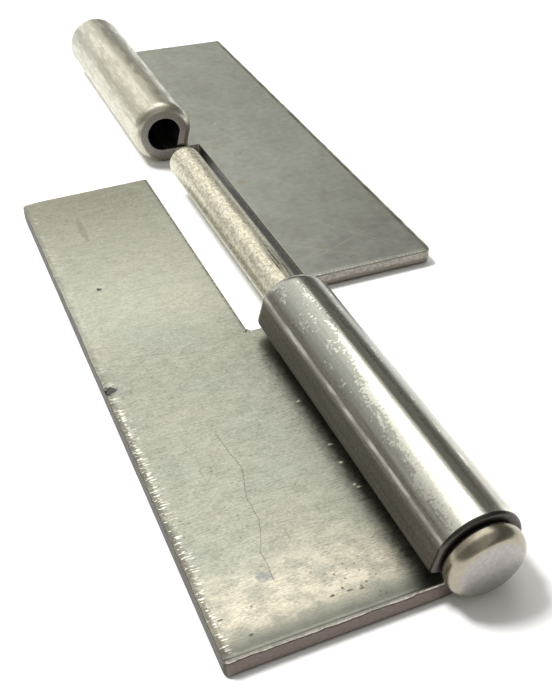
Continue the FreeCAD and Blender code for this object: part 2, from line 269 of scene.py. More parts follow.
class Finish:
    """Material under way: short calls that add nodes and give back the socket they end in."""

    def __init__(self, name, on_sheet=True):
        self.material = bpy.data.materials.new(name)
        self.material.use_nodes = True
        self.tree = self.material.node_tree
        self.shader = self.tree.nodes["Principled BSDF"]
        self.shader.inputs["Metallic"].default_value = 1.0
        if on_sheet:
            self.sheet = self.add("ShaderNodeAttribute", attribute_name="sheet").outputs["Vector"]
        else:
            self.sheet = self.add("ShaderNodeTexCoord").outputs["Object"]

    def add(self, kind, inputs=(), **settings):
        """Node whose inputs take numbers, colours or other sockets."""
        made = self.tree.nodes.new(kind)
        for name, value in settings.items():
            setattr(made, name, value)
        for key, value in dict(inputs).items():
            if isinstance(value, bpy.types.NodeSocket):
                self.tree.links.new(value, made.inputs[key])
            else:
                made.inputs[key].default_value = value
        return made

    def axis(self, index):
        """One coordinate of the flat sheet, in millimetres."""
        parts = self.add("ShaderNodeSeparateXYZ", {0: self.sheet})
        return self.join("MULTIPLY", parts.outputs[index], 1 / MM)

    def join(self, operation, first, second):
        """Arithmetic on two values."""
        return self.add("ShaderNodeMath", {0: first, 1: second}, operation=operation).outputs[0]

    def both(self, *masks):
        """Product of masks: shown only where all of them are."""
        product = masks[0]
        for mask in masks[1:]:
            product = self.join("MULTIPLY", product, mask)
        return product

    def total(self, *values):
        """Sum of values."""
        sum_so_far = values[0]
        for value in values[1:]:
            sum_so_far = self.join("ADD", sum_so_far, value)
        return sum_so_far

    def vector(self, operation, *inputs, output="Vector"):
        """Arithmetic on places on the sheet, in metres."""
        return self.add("ShaderNodeVectorMath", dict(enumerate(inputs)), operation=operation).outputs[output]

    def step(self, value, low, high, first=0.0, last=1.0):
        """Smooth change from first to last while value goes from low to high."""
        inputs = {"Value": value, "From Min": low, "From Max": high, "To Min": first, "To Max": last}
        return self.add("ShaderNodeMapRange", inputs, interpolation_type="SMOOTHSTEP").outputs[0]

    def band(self, value, start, full, fade, stop):
        """Mask that rises while value goes from start to full, and falls from fade to stop."""
        return self.both(self.step(value, start, full), self.step(value, fade, stop, 1.0, 0.0))

    def grain(self, sizes, detail=2.0, distortion=0.0):
        """Noise between 0 and 1 on the sheet; sizes are a patch's three measures in millimetres."""
        place = self.vector("MULTIPLY", self.sheet, [1 / (size * MM) for size in sizes])
        inputs = {"Vector": place, "Scale": 1.0, "Detail": detail, "Distortion": distortion}
        return self.add("ShaderNodeTexNoise", inputs).outputs[0]

    def specks(self, size, radius, share):
        """Mask of round specks, one in each cell of a given size, kept for a share of the cells."""
        place = self.vector("MULTIPLY", self.sheet, [1 / (size * MM)] * 3)
        cells = self.add("ShaderNodeTexVoronoi", {"Vector": place, "Scale": 1.0})
        chance = self.add("ShaderNodeSeparateColor", {0: cells.outputs["Color"]})
        near = self.step(cells.outputs["Distance"], radius / size * 0.5, radius / size, 1.0, 0.0)
        return self.both(near, self.join("LESS_THAN", chance.outputs[0], share))

    def spot(self, place, half_size, soft=0.5):
        """Mask of an oval on the sheet, with a ragged rim."""
        offset = self.vector("SUBTRACT", self.sheet, [place[0] * MM, place[1] * MM, 0])
        share = [1 / (half_size[0] * MM), 1 / (half_size[1] * MM), 0]
        away = self.vector("LENGTH", self.vector("MULTIPLY", offset, share), output="Value")
        ragged = self.total(away, self.step(self.grain((0.6, 0.6, 0.6)), 0.25, 0.75, -0.3, 0.3))
        return self.step(ragged, 1.0 - soft, 1.0, 1.0, 0.0)

    def scratch(self, places, half_width):
        """Mask of a slightly wavering line on the sheet, through a few places."""
        wander = self.add("ShaderNodeTexNoise", {"Vector": self.sheet, "Scale": 1 / (2.5 * MM)})
        centred = self.vector("SUBTRACT", wander.outputs["Color"], [0.5, 0.5, 0.5])
        shaken = self.vector("MULTIPLY_ADD", centred, [0.7 * MM, 0.7 * MM, 0], self.sheet)
        line = 0.0
        for start, stop in zip(places, places[1:]):
            start, stop = Vector((*start, 0)) * MM, Vector((*stop, 0)) * MM
            run = stop - start
            offset = self.vector("MULTIPLY", self.vector("SUBTRACT", shaken, start), (1, 1, 0))
            along = self.vector("DOT_PRODUCT", offset, run / run.length_squared, output="Value")
            held = self.add("ShaderNodeClamp", {"Value": along}).outputs[0]
            away = self.vector("DISTANCE", offset, self.vector("MULTIPLY", run, held), output="Value")
            stretch = self.step(away, 0.4 * half_width * MM, half_width * MM, 1.0, 0.0)
            line = self.join("MAXIMUM", stretch, line)
        return line

    def blend(self, share, first, second, blend_type="MIX"):
        """Mix of two colours."""
        colours = [(*c, 1.0) if isinstance(c, tuple) else c for c in (first, second)]
        inputs = {0: share, 1: colours[0], 2: colours[1]}
        return self.add("ShaderNodeMixRGB", inputs, blend_type=blend_type).outputs[0]

    def mark(self, colour, mask, strength, pigment):
        """Colour with a pigment laid over it where the mask is, at a strength."""
        return self.blend(self.both(mask, strength), colour, pigment)

    def close(self, colour, roughness, height, depth):
        """Links the finished colour, roughness and height (of depth millimetres) and gives the material."""
        bump = self.add("ShaderNodeBump", {"Height": height, "Strength": 1.0, "Distance": depth * MM})
        self.tree.links.new(colour, self.shader.inputs["Base Color"])
        self.tree.links.new(roughness, self.shader.inputs["Roughness"])
        self.tree.links.new(bump.outputs[0], self.shader.inputs["Normal"])
        return self.material


PALE_STEEL = (0.51, 0.505, 0.42)
COOL_STEEL = (0.465, 0.485, 0.415)
FAR_END_STEEL = (0.375, 0.365, 0.295)
WARM_HIGHLIGHT = (0.79, 0.74, 0.60)
ROLL_SIDE_SHADE = (0.40, 0.395, 0.335)
ROLLOVER_SHADE = (0.20, 0.21, 0.185)
EDGE_DIRT = (0.24, 0.23, 0.19)
ROUNDED_EDGE_SHADE = (0.15, 0.135, 0.108)
FRESH_STEEL_GLINT = (0.97, 0.95, 0.87)
NOTCH_RIM_DARK = (0.17, 0.16, 0.135)
PIT = (0.16, 0.14, 0.12)
HAIRLINE_GREY = (0.2, 0.2, 0.185)
LOOP_GREY = (0.18, 0.175, 0.16)
STAIN_BLUE = (0.21, 0.23, 0.25)
RUST = (0.17, 0.12, 0.08)
DARK_SPOT = (0.11, 0.095, 0.08)
NICK_FLOOR = (0.10, 0.10, 0.095)
GLINT = (0.97, 0.94, 0.84)
BIG_NICK = (0.9, 55.8)
BIG_NICK_SIZE = (1.5, 1.0)
SMALL_NICK = (7.2, 85.4)
SMALL_NICK_SIZE = (0.6, 0.42)
HAIRLINE = (
    (13.7, 39.4), (14.3, 35.9), (14.9, 30.6), (14.2, 27.8), (13.3, 24.6),
    (13.3, 19.9), (12.1, 16.3), (11.3, 14.6), (11.2, 12.1), (11.0, 9.2),
)
LOOP_MARK = ((8.9, 31.2), (8.7, 32.5), (9.4, 33.1), (10.4, 32.7), (10.2, 31.2), (9.1, 29.9), (8.1, 29.1))
MARK_HALF_WIDTH = 0.1
STAIN = (10.1, 10.3)
STAIN_SIZE = (1.8, 1.3)
GLINT_PLACES = ((29.5, 20.9), (29.8, 20.3), (29.4, 41.4), (29.9, 30.2), (29.7, 25.9))
GLINT_SIZE = (0.45, 0.3)
FACE_SPOTS = (
    ((9.6, 108.0), (0.9, 6.5), 0.25), ((16.0, 16.0), (0.2, 2.0), 0.25), ((17.3, 3.8), (0.42, 0.25), 0.9),
    ((19.1, 4.4), (0.22, 0.42), 0.8), ((20.0, 3.7), (0.6, 0.2), 0.8), ((21.4, 3.4), (0.4, 0.16), 0.8),
    ((4.9, 2.4), (0.5, 0.22), 0.9), ((1.8, 6.0), (0.6, 0.16), 0.9), ((6.5, 6.4), (0.25, 0.22), 0.7),
)


def near_face_finish():
    """Flat faces of the near leaf: finely streaked steel, torn at its edges, scratched and stained, with
    painted shade, highlights and glints.
    """
    finish = Finish("near_leaf_face")
    across, along = finish.axis(0), finish.axis(1)
    streaks = finish.grain((2.8, 0.22, 2.8), 3.0, 0.5)
    hairs = finish.grain((2.0, 0.13, 2.0), 2.0, 0.8)
    fine = finish.grain((0.55, 0.2, 0.55), 2.0)
    cloud = finish.grain((3.2, 2.2, 3.2), 5.0)
    patch = finish.grain((0.9, 0.6, 0.9), 3.0)
    tint = finish.grain((16.0, 12.0, 16.0), 2.0)
    far_half = finish.step(along, 62.0, 124.0)
    # A warm painted highlight, in patches, near the near end.
    warm_end_highlight = finish.both(finish.step(along, 19.0, 5.0), finish.step(cloud, 0.34, 0.62, 0.4, 1.0))
    # Painted shade on the face beside the roll.
    beside_roll = finish.step(across, 21.0, 29.0, 0.0, 0.55)
    colour = finish.blend(finish.step(tint, 0.35, 0.65), PALE_STEEL, COOL_STEEL)
    colour = finish.blend(far_half, colour, FAR_END_STEEL)
    colour = finish.blend(warm_end_highlight, colour, WARM_HIGHLIGHT)
    colour = finish.blend(beside_roll, colour, ROLL_SIDE_SHADE)
    tone = finish.both(finish.step(along, 56.0, 82.0, 0.8, 1.14), finish.step(along, 104.0, 121.0, 1.0, 0.88))
    shade = finish.total(
        tone,
        finish.step(cloud, 0.3, 0.7, -0.07, 0.05),
        finish.step(patch, 0.3, 0.7, -0.1, 0.09),
        finish.step(streaks, 0.3, 0.7, -0.12, 0.11),
        finish.step(fine, 0.3, 0.7, -0.13, 0.13),
        finish.step(hairs, 0.36, 0.28, 0.0, -0.22),
    )
    colour = finish.blend(1.0, colour, shade, "MULTIPLY")
    # Painted shade on the band where the near edge rolls over.
    colour = finish.mark(colour, finish.step(along, 5.2, 0.6), 0.85, ROLLOVER_SHADE)
    near_half = finish.step(along, 40.0, 66.0, 1.0, 0.3)
    dirty = finish.both(finish.step(across, 0.6, 3.0, 1.0, 0.0), finish.step(patch, 0.4, 0.5, 0.5, 0.0))
    colour = finish.mark(colour, dirty, near_half, EDGE_DIRT)
    # Painted shade in patches on the rounded outer edge, stronger on the near half.
    rounded = finish.both(finish.step(across, 1.5, 0.5, 0.0, 0.85), finish.step(cloud, 0.35, 0.6, 0.7, 1.0))
    colour = finish.mark(colour, rounded, near_half, ROUNDED_EDGE_SHADE)
    torn = finish.total(
        finish.grain((1.6, 0.26, 1.6), 4.0, 0.3),
        finish.step(across, 0.9, 3.8, 0.0, -0.3),
        finish.step(across, 1.1, 0.5, 0.0, -0.14),
    )
    # Ticks of fresh-cut steel along the outer edge, painted near white as glints.
    ticks = finish.both(finish.step(torn, 0.48, 0.55), finish.step(cloud, 0.4, 0.56, 0.15, 1.0), near_half)
    colour = finish.blend(ticks, colour, FRESH_STEEL_GLINT)
    # Darker in patches along the notch's rim past its root.
    past_root = finish.step(along, KNUCKLE_LENGTH - 1, KNUCKLE_LENGTH + 1)
    notch_rim = finish.both(finish.step(across, NOTCH_AT - 0.9, NOTCH_AT - 0.2), past_root)
    colour = finish.mark(colour, notch_rim, finish.step(patch, 0.4, 0.55, 0.25, 0.9), NOTCH_RIM_DARK)
    pits = finish.specks(1.9, 0.2, 0.22)
    colour = finish.mark(colour, pits, 0.6, PIT)
    hairline = finish.scratch(HAIRLINE, MARK_HALF_WIDTH)
    colour = finish.mark(colour, hairline, 0.5, HAIRLINE_GREY)
    colour = finish.mark(colour, finish.scratch(LOOP_MARK, MARK_HALF_WIDTH), 0.5, LOOP_GREY)
    colour = finish.mark(colour, finish.spot(STAIN, STAIN_SIZE, 0.7), 0.7, STAIN_BLUE)
    rusty = finish.both(finish.step(along, 11.0, 7.0, 0.0, 0.7), finish.band(across, 14.0, 18.0, 23.0, 27.0))
    colour = finish.mark(colour, finish.specks(0.9, 0.26, 0.5), rusty, RUST)
    for place, half_size, dark in FACE_SPOTS:
        colour = finish.mark(colour, finish.spot(place, half_size), dark, DARK_SPOT)
    big_nick = finish.spot(BIG_NICK, BIG_NICK_SIZE, 0.3)
    small_nick = finish.spot(SMALL_NICK, SMALL_NICK_SIZE, 0.3)
    colour = finish.blend(finish.join("MAXIMUM", big_nick, small_nick), colour, NICK_FLOOR)
    # Painted glints: scattered specks and the listed spots.
    glints = finish.specks(2.8, 0.16, 0.06)
    for place in GLINT_PLACES:
        glints = finish.join("MAXIMUM", glints, finish.spot(place, GLINT_SIZE, 0.6))
    colour = finish.blend(glints, colour, GLINT)
    rough = finish.total(
        finish.step(streaks, 0.3, 0.7, 0.35, 0.39),
        finish.step(patch, 0.3, 0.7, -0.04, 0.04),
        finish.both(glints, 0.4),
    )
    raised = finish.total(finish.both(streaks, 0.5), finish.both(fine, 0.4), ticks, glints)
    height = finish.join("SUBTRACT", raised, finish.total(hairline, pits))
    return finish.close(colour, rough, height, 0.009)


FLAT_END_SHADE_DARK = (0.16, 0.145, 0.125)
FLAT_END_SHADE_PALE = (0.34, 0.31, 0.275)
CREASE_HIGHLIGHT = (0.60, 0.58, 0.51)
ROLL_PIT = (0.14, 0.13, 0.11)
BORE_SHADE = (0.035, 0.034, 0.045)


def roll_finish(name, body, polished, low_end, dark_from, roughness, rubbed):
    """Rolled stretch: finely grained steel, dull and painted with shade on the flat at its end, and painted
    with shade inside.

    Its crown wears brighter the larger rubbed is, and dark_from is where the flat begins on the sheet.
    Its end at the sheet's start and the line where the flat begins carry painted highlights.
    """
    finish = Finish(name)
    round_roll, along, depth = finish.axis(0), finish.axis(1), finish.axis(2)
    speckle = finish.grain((0.4, 0.5, 0.4), 2.0)
    patches = finish.grain((0.9, 4.5, 0.9), 4.0, 0.3)
    lines = finish.grain((0.45, 20.0, 0.45), 2.0, 0.2)
    from_crown = finish.total(round_roll, finish.step(along, 56.0, 4.0, 1.2, -2.4))
    crown = finish.both(
        finish.step(round_roll, 53.3, 54.2),
        finish.step(from_crown, 53.8, 58.2, 1.0, 0.0),
        finish.step(along, 58.0, 54.5),
    )
    wear = finish.total(
        finish.both(patches, 0.6),
        finish.both(speckle, 0.4),
        finish.step(crown, 0.0, 1.0, -0.4 * rubbed, rubbed),
    )
    # Polished in patches of wear, and painted bright as a highlight within 2.6 mm of the end at the sheet's
    # start.
    wear_and_end_highlight = finish.join("MAXIMUM", finish.step(wear, 0.50, 0.55), finish.step(along, 2.6, 0.8))
    colour = finish.blend(wear_and_end_highlight, body, polished)
    lined = finish.both(finish.step(along, 36.0, 4.0), finish.step(lines, 0.35, 0.65, 0.35, 0.9))
    colour = finish.mark(colour, lined, finish.step(wear_and_end_highlight, 0.0, 1.0, 1.0, 0.2), low_end)
    shade = finish.step(lines, 0.3, 0.7, 0.92, 1.06)
    shade = finish.total(shade, finish.step(speckle, 0.3, 0.7, -0.06, 0.06))
    colour = finish.blend(1.0, colour, shade, "MULTIPLY")
    wander = finish.step(finish.grain((4.0, 14.0, 4.0), 4.0), 0.3, 0.7, -0.12, 0.12)
    uneven = finish.total(round_roll, wander)
    # The flat at the end is painted dark as shade, in mottled tones.
    flat_end = finish.step(uneven, dark_from, dark_from + 1.0)
    drawn = finish.total(finish.step(lines, 0.3, 0.7, 0.0, 0.35), finish.step(speckle, 0.3, 0.7, 0.0, 0.4))
    colour = finish.blend(flat_end, colour, finish.blend(drawn, FLAT_END_SHADE_DARK, FLAT_END_SHADE_PALE))
    # A painted highlight along the line where the flat begins.
    crease = finish.band(uneven, dark_from + 1.25, dark_from + 1.5, dark_from + 1.65, dark_from + 2.0)
    colour = finish.mark(colour, crease, finish.step(patches, 0.35, 0.6, 0.4, 1.0), CREASE_HIGHLIGHT)
    pits = finish.specks(1.2, 0.16, 0.14)
    colour = finish.mark(colour, pits, 0.5, ROLL_PIT)
    # Painted shade inside the bore.
    inside = finish.step(depth, 0.6, 0.1)
    colour = finish.blend(inside, colour, BORE_SHADE)
    rough = finish.total(
        finish.step(wear, 0.46, 0.54, roughness + 0.14, roughness),
        finish.both(flat_end, 0.18),
        finish.both(inside, 0.3),
    )
    height = finish.join("SUBTRACT", finish.total(patches, speckle), pits)
    return finish.close(colour, rough, height, 0.008)


TEAR_LINE = (0.07, 0.06, 0.05)
SIDE_WALL_SHADE = (0.06, 0.055, 0.05)
NOTCH_WALL_SHADE_TOP = (0.19, 0.18, 0.15)
NOTCH_WALL_SHADE_FOOT = (0.04, 0.035, 0.03)


def deeper(colour, share):
    """The same colour, darker."""
    return tuple(share * part for part in colour)


def cut_finish(name, burnished, torn, ring, steel, tear_depth, tear_line, side_shade, notch_shade):
    """Sheared edge: burnished above, a dark line, torn and dull below; on the roll an end ring and a rim in
    the colours ring and steel, which the near leaf gives dark as painted shade.

    tear_line sets how dark that line is; side_shade and notch_shade set how strong the painted shade on the
    outer side's wall and the painted shadow on the notch's wall are.
    """
    finish = Finish(name)
    across, depth = finish.axis(0), finish.axis(2)
    texture = finish.grain((0.6, 0.6, 0.35), 3.0)
    mottled = finish.step(texture, 0.35, 0.65)
    softly_mottled = finish.step(texture, 0.3, 0.7)
    wander = finish.step(finish.grain((2.5, 2.5, 2.5), 2.0), 0.3, 0.7, -0.12, 0.12)
    below_tear = finish.join("SUBTRACT", finish.total(depth, wander), tear_depth)
    light = finish.blend(mottled, burnished, deeper(burnished, 0.72))
    dull = finish.blend(softly_mottled, torn, deeper(torn, 0.88))
    colour = finish.blend(finish.step(below_tear, 0.0, 0.2), light, dull)
    colour = finish.mark(colour, finish.band(below_tear, -0.1, 0.05, 0.15, 0.3), tear_line, TEAR_LINE)
    # The end ring on the roll takes ring's colour, painted shade where it is given dark.
    end_ring = finish.blend(mottled, ring, deeper(ring, 0.75))
    leaf_part = finish.step(across, LEAF_REACH - 4, LEAF_REACH - 2, 1.0, 0.0)
    colour = finish.blend(leaf_part, end_ring, colour)
    rim = finish.both(finish.step(depth, SHEET - DIE_ROLL, SHEET - 0.1), finish.step(across, 36.0, 40.0))
    # The rim takes steel's colour, painted shade where it is given dark.
    colour = finish.blend(rim, colour, steel)
    # Painted shade on the outer side's wall, as strong as side_shade.
    colour = finish.mark(colour, finish.step(across, 0.5, 0.2), side_shade, SIDE_WALL_SHADE)
    # Painted shadow on the notch's wall beside the pin, darkest at its foot.
    if notch_shade:
        past_root = finish.step(finish.axis(1), KNUCKLE_LENGTH + 0.5, KNUCKLE_LENGTH + 2)
        beside_notch = finish.both(past_root, finish.step(across, NOTCH_AT - 0.5, NOTCH_AT - 0.2))
        ragged = finish.total(depth, finish.step(texture, 0.3, 0.7, -0.5, 0.5))
        shaded = finish.step(ragged, 0.2, 1.0, 0.0, notch_shade)
        notch_wall_shade = finish.blend(shaded, NOTCH_WALL_SHADE_TOP, NOTCH_WALL_SHADE_FOOT)
        colour = finish.blend(beside_notch, colour, notch_wall_shade)
    rough = finish.total(finish.step(texture, 0.3, 0.7, 0.42, 0.52), finish.both(rim, -0.16))
    return finish.close(colour, rough, texture, 0.02)


FLAT_FADE = 4.0
ROLLOVER_WIDTH = 4.4
ROLLOVER_DROP = 0.6
LIP = 0.35
LIP_WIDTH = 0.6
TORN_LEAN = 0.7
TORN_WIDTH = 1.5
BIG_NICK_DEPTH = 0.45
BIG_NICK_TURN = 20
SMALL_NICK_DEPTH = 0.2
RAGGED_WIDTH = 1.2
RAGGED_UP = 0.16
RAGGED_OUT = 0.14
FAR_EDGE_FROM = 90.0
FAR_EDGE_BACK = 0.8
FAR_EDGE_SKEW = 1.7
BENT_REACH = 4.0
BENT_IN = 0.2
BENT_DOWN = 0.3
near_points, near_sheet, near_faces, near_kinds = leaf_mesh(NEAR_LEAN, NEAR_END_GAP)
across, along, below = near_sheet.T
above = 1 - below / SHEET
flat_part = np.clip((LEAF_REACH - across) / FLAT_FADE, 0, 1)
near_points[:, 2] -= above * flat_part * ROLLOVER_DROP * np.clip(1 - along / ROLLOVER_WIDTH, 0, 1) ** 2
near_points[:, 2] += above * flat_part * LIP * np.clip(1 - along / LIP_WIDTH, 0, 1)
near_points[:, 1] -= (1 - above) * flat_part * TORN_LEAN * np.clip(1 - along / TORN_WIDTH, 0, 1)
near_points[:, 2] -= above * BIG_NICK_DEPTH * dent(near_sheet, BIG_NICK, BIG_NICK_SIZE, BIG_NICK_TURN)
near_points[:, 2] -= above * SMALL_NICK_DEPTH * dent(near_sheet, SMALL_NICK, SMALL_NICK_SIZE, 0)
outer_edge = np.where(across < RAGGED_WIDTH)[0]
crest = above[outer_edge] * (1 - across[outer_edge] / RAGGED_WIDTH)
near_points[outer_edge, 2] += crest * RAGGED_UP * soft_noise(near_sheet[outer_edge], 1.7, 1)
near_points[outer_edge, 0] += crest * RAGGED_OUT * soft_noise(near_sheet[outer_edge], 2.3, 2)
leaf_side = across <= NOTCH_AT + NEARLY
far_part = np.clip((along - FAR_EDGE_FROM) / (LEAF_LENGTH - FAR_EDGE_FROM), 0, 1) ** 2 * leaf_side
near_points[:, 1] -= far_part * (FAR_EDGE_BACK + FAR_EDGE_SKEW * (1 - across / NOTCH_AT))
bent = np.clip(1 - np.hypot(across, LEAF_LENGTH - along) / BENT_REACH, 0, 1) ** 2
near_points[:, 0] += BENT_IN * bent
near_points[:, 2] -= BENT_DOWN * bent * above
near_points[:, 1] += NEAR_EDGE_Y
near_leaf = finish_mesh("near_leaf_dressed", near_points, near_faces, near_kinds, [
    near_face_finish(),
    roll_finish("near_roll", body=(0.38, 0.39, 0.345), polished=(0.70, 0.695, 0.62),
                low_end=(0.56, 0.525, 0.455), dark_from=58.9, roughness=0.1, rubbed=0.2),
    # The near end ring and rim are given dark as painted shade, the ring lying in the head's shadow.
    cut_finish("near_cut", burnished=(0.60, 0.565, 0.50), torn=(0.18, 0.15, 0.135),
               ring=(0.10, 0.085, 0.075), steel=(0.09, 0.083, 0.075), tear_depth=0.42, tear_line=1.0,
               side_shade=0.75, notch_shade=0.0),
], near_sheet)
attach(near_leaf, "near_leaf")
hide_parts("near_leaf")


def burr_group():
    """Geometry nodes that set small torn burrs along a path, each turned and sized by chance."""
    group = bpy.data.node_groups.new("burr_row", "GeometryNodeTree")
    face = group.interface
    face.new_socket("Path", in_out="INPUT", socket_type="NodeSocketGeometry")
    for name, kind in (("Spacing", "Float"), ("Smallest", "Vector"), ("Largest", "Vector"), ("Seed", "Int"),
                       ("Material", "Material")):
        face.new_socket(name, in_out="INPUT", socket_type=f"NodeSocket{kind}")
    face.new_socket("Burrs", in_out="OUTPUT", socket_type="NodeSocketGeometry")
    given = group.nodes.new("NodeGroupInput").outputs
    along = group.nodes.new("GeometryNodeResampleCurve")
    along.mode = "LENGTH"
    chip = group.nodes.new("GeometryNodeMeshIcoSphere")
    chip.inputs["Radius"].default_value = 0.5
    chip.inputs["Subdivisions"].default_value = 2
    turned = group.nodes.new("FunctionNodeRandomValue")
    turned.data_type = "FLOAT_VECTOR"
    turned.inputs[0].default_value = (-0.08, -0.08, -0.4)
    turned.inputs[1].default_value = (0.08, 0.08, 0.4)
    sized = group.nodes.new("FunctionNodeRandomValue")
    sized.data_type = "FLOAT_VECTOR"
    stand = group.nodes.new("GeometryNodeInstanceOnPoints")
    real = group.nodes.new("GeometryNodeRealizeInstances")
    paint = group.nodes.new("GeometryNodeSetMaterial")
    out = group.nodes.new("NodeGroupOutput")
    for source, target in (
        (given["Path"], along.inputs["Curve"]), (given["Spacing"], along.inputs["Length"]),
        (given["Smallest"], sized.inputs[0]), (given["Largest"], sized.inputs[1]),
        (given["Seed"], sized.inputs["Seed"]), (given["Seed"], turned.inputs["Seed"]),
        (along.outputs["Curve"], stand.inputs["Points"]), (chip.outputs["Mesh"], stand.inputs["Instance"]),
        (turned.outputs[0], stand.inputs["Rotation"]), (sized.outputs[0], stand.inputs["Scale"]),
        (stand.outputs["Instances"], real.inputs["Geometry"]), (real.outputs[0], paint.inputs["Geometry"]),
        (given["Material"], paint.inputs["Material"]), (paint.outputs[0], out.inputs[0]),
    ):
        group.links.new(source, target)
    return group


def burr_finish():
    """Torn steel, painted brighter than the face as a highlight where it catches the light."""
    finish = Finish("burr_steel", on_sheet=False)
    texture = finish.grain((0.3, 0.3, 0.3))
    colour = finish.blend(finish.step(texture, 0.35, 0.65), (0.72, 0.69, 0.59), (0.92, 0.90, 0.82))
    return finish.close(colour, finish.step(texture, 0.3, 0.7, 0.22, 0.34), texture, 0.02)


def burr_row(name, path, spacing, smallest, largest, seed, node):
    """Burrs along a path in millimetres, as a mesh that rides with a leaf."""
    curve = bpy.data.curves.new(name + "_path", "CURVE")
    curve.dimensions = "3D"
    line = curve.splines.new("POLY")
    line.points.add(len(path) - 1)
    for point, place in zip(line.points, path):
        point.co = (*(Vector(place) * MM), 1.0)
    holder = bpy.data.objects.new(name + "_path", curve)
    bpy.context.scene.collection.objects.link(holder)
    rows = holder.modifiers.new("burrs", "NODES")
    rows.node_group = BURRS
    values = {"Spacing": spacing * MM, "Smallest": [part * MM for part in smallest],
              "Largest": [part * MM for part in largest], "Seed": seed, "Material": BURR_STEEL}
    for item in BURRS.interface.items_tree:
        if item.name in values:
            rows[item.identifier] = values[item.name]
    evaluated = holder.evaluated_get(bpy.context.evaluated_depsgraph_get())
    mesh = bpy.data.meshes.new_from_object(evaluated)
    holder.modifiers.remove(rows)
    bpy.data.objects.remove(holder)
    row = bpy.data.objects.new(name, mesh)
    bpy.context.scene.collection.objects.link(row)
    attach(row, node)


BURRS = burr_group()
BURR_STEEL = burr_finish()
left_x = -LEAF_REACH + 0.25
corner_path = [
    (left_x + 0.3, NEAR_EDGE_Y + 1.6, SHEET - 0.35),
    (left_x + 1.0, NEAR_EDGE_Y + 5, SHEET),
    (left_x + 0.3, NEAR_EDGE_Y + 11, SHEET),
]
burr_row("near_corner_burrs", corner_path, spacing=0.5, smallest=(0.2, 0.12, 0.06), largest=(1.0, 0.45, 0.2),
         seed=3, node="near_leaf")
side_path = [(left_x + 0.4, NEAR_EDGE_Y + 12, SHEET), (left_x + 0.2, NEAR_EDGE_Y + 58, SHEET)]
burr_row("near_side_burrs", side_path, spacing=0.9, smallest=(0.1, 0.06, 0.03), largest=(0.9, 0.25, 0.1),
         seed=5, node="near_leaf")
notch_path = [(-9.4, -35.5, SHEET), (-9.0, -35.0, SHEET + 0.25), (-8.3, -35.3, SHEET)]
burr_row("notch_burr", notch_path, spacing=0.3, smallest=(0.3, 0.2, 0.2), largest=(0.6, 0.4, 0.4),
         seed=2, node="near_leaf")

# Pin: a drawn steel rod with an upset button head, pushed through the near knuckle from the near end.
# Its shaft is dull and speckled where it stands bare, rounded at the tip; the head is rubbed smooth.
PIN = 3.7
PIN_TIP_Y = 24.6
TIP_CHAMFER = 1.2
HEAD = 6.3
HEAD_BACK_Y = NEAR_EDGE_Y - 0.1
HEAD_FACE_Y = HEAD_BACK_Y - 3.3
HEAD_ROUNDING = 1.9
FACE_DOME = 0.25
HEAD_BACK_ROUNDING = 0.8
TIP_DOME = 0.15
SWELL = 0.035
PIN_SIDES = 80
SHAFT_STEPS = 200
FACE_STEPS = 9
PIN_PIT = (0.12, 0.10, 0.08)
PIN_DARK_STREAK = (0.09, 0.075, 0.06)


def pin_profile():
    """Radius of the pin over its length, from the head's face to the tip, with the kind of each stretch."""
    face = HEAD - HEAD_ROUNDING
    profile = []
    for share in np.linspace(0, 1, FACE_STEPS):
        profile.append((HEAD_FACE_Y - FACE_DOME * (1 - share ** 2), share * face, 2))
    for turn in np.radians((20, 40, 60, 80, 90)):
        profile.append((HEAD_FACE_Y + HEAD_ROUNDING * (1 - math.cos(turn)),
                        HEAD - HEAD_ROUNDING * (1 - math.sin(turn)), 1))
    for turn in np.radians((0, 30, 60, 90)):
        profile.append((HEAD_BACK_Y - HEAD_BACK_ROUNDING * (1 - math.sin(turn)),
                        HEAD - HEAD_BACK_ROUNDING * (1 - math.cos(turn)), 1))
    shaft_end = PIN_TIP_Y - TIP_CHAMFER
    tip_face = PIN - TIP_CHAMFER
    profile += [(y, PIN, 0) for y in np.linspace(HEAD_BACK_Y, shaft_end, SHAFT_STEPS)]
    for turn in np.radians((15, 30, 45, 60, 75, 90)):
        profile.append((shaft_end + TIP_CHAMFER * math.sin(turn), tip_face + TIP_CHAMFER * math.cos(turn), 0))
    profile += [(PIN_TIP_Y + TIP_DOME * (1 - radius / tip_face), radius, 0) for radius in (1.6, 0.8, 0.0)]
    return profile


